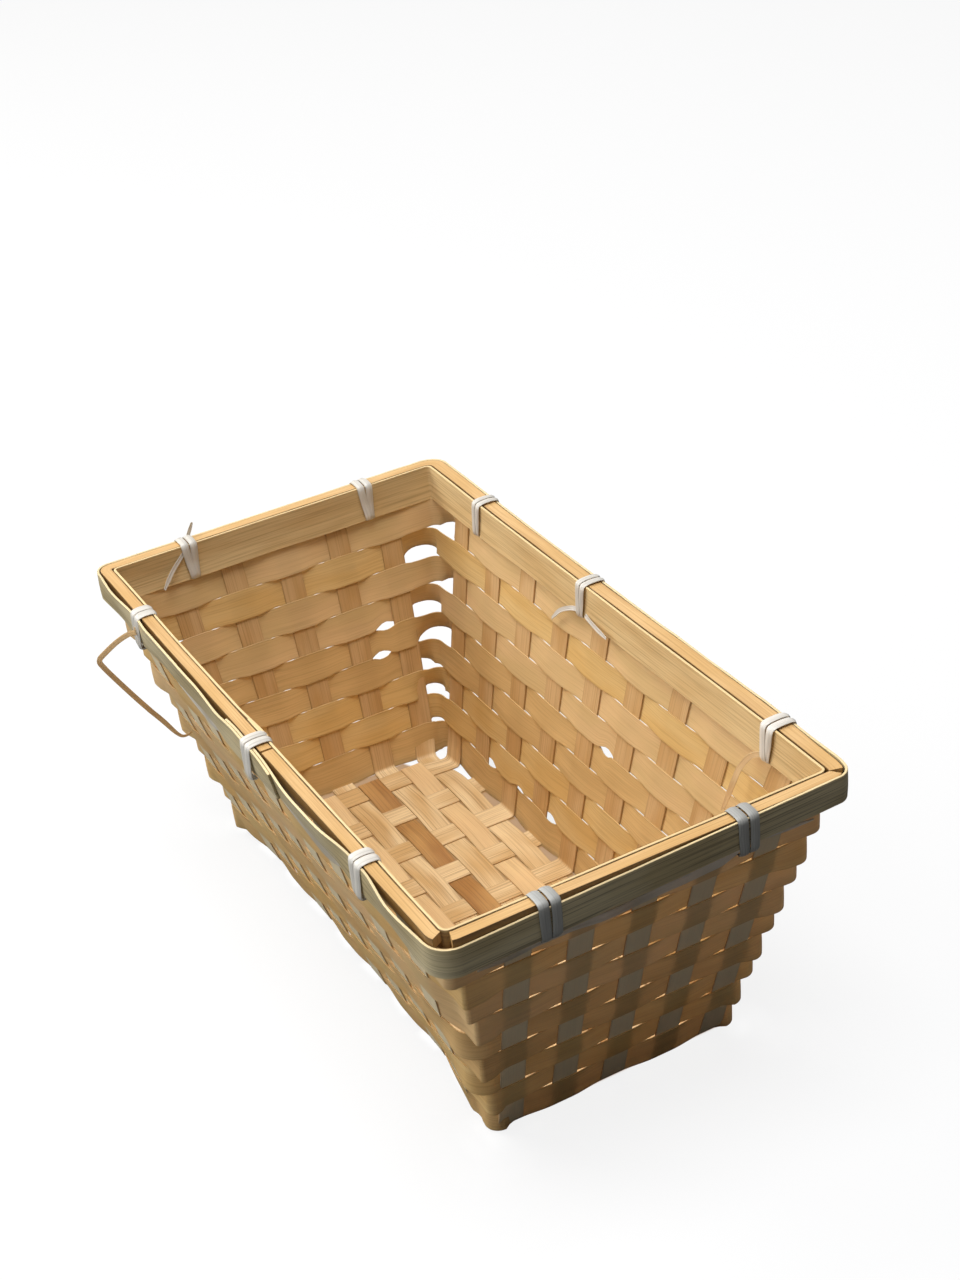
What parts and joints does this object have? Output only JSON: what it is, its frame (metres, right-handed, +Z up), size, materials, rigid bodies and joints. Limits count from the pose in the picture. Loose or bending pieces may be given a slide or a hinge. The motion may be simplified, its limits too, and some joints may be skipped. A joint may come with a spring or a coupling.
{
  "type": "bamboo basket",
  "caption": "Long narrow open basket of plaited split bamboo with flared walls, a hooped rim held by split-bamboo ties, and a few loose tie ends",
  "frame": {"origin": "on the ground under the middle of the floor", "axes": "+Z up, +Y along the basket towards the short wall without the packing strip, +X across it towards the long wall opposite the lapped hoop ends"},
  "size_m": [0.1688, 0.2831, 0.1231],
  "materials": {
    "stake": "split bamboo, dry and matte, fine grain along the strip",
    "floor_slat": "split bamboo, dry and matte, a little darker",
    "weaver_honey": "split bamboo, honey brown, matte",
    "weaver_golden": "split bamboo, golden, satin",
    "weaver_pale": "split bamboo, pale with a pinkish cast, matte",
    "hoop": "planed bamboo slat, satin, straight grain",
    "core": "peeled bamboo strip, golden, satin",
    "packing": "thin bleached bamboo skin, dull",
    "tie": "thin bleached bamboo skin, dull, streaked grey"
  },
  "bodies": {
    "root": {"long_stake_1": "stake", "long_stake_2": "stake", "long_stake_3": "stake", "long_stake_4": "stake", "long_stake_5": "stake", "floor_slat_1": "floor_slat", "floor_slat_2": "floor_slat", "floor_slat_3": "floor_slat", "floor_slat_4": "floor_slat", "cross_stake_1": "stake", "cross_stake_2": "stake", "cross_stake_3": "stake", "cross_stake_4": "stake", "cross_stake_5": "stake", "cross_stake_6": "stake", "cross_stake_7": "stake", "cross_stake_8": "stake", "cross_stake_9": "stake", "weaver_01": "weaver_honey", "weaver_02": "weaver_golden", "weaver_03": "weaver_golden", "weaver_04": "weaver_honey", "weaver_05": "weaver_honey", "weaver_06": "weaver_pale", "weaver_07": "weaver_pale", "weaver_08": "weaver_golden", "weaver_09": "weaver_pale", "weaver_10": "weaver_honey", "outer_hoop": "hoop", "rim_core": "core", "inner_hoop": "hoop", "left_packing": "packing", "front_packing": "packing", "tie_front_left": "tie", "tie_front_right": "tie", "tie_right_front": "tie", "tie_right_middle": "tie", "tie_right_back": "tie", "tie_back_right": "tie", "tie_back_left": "tie", "tie_left_back": "tie", "tie_left_middle": "tie", "tie_left_front": "tie"}
  },
  "joints": []
}
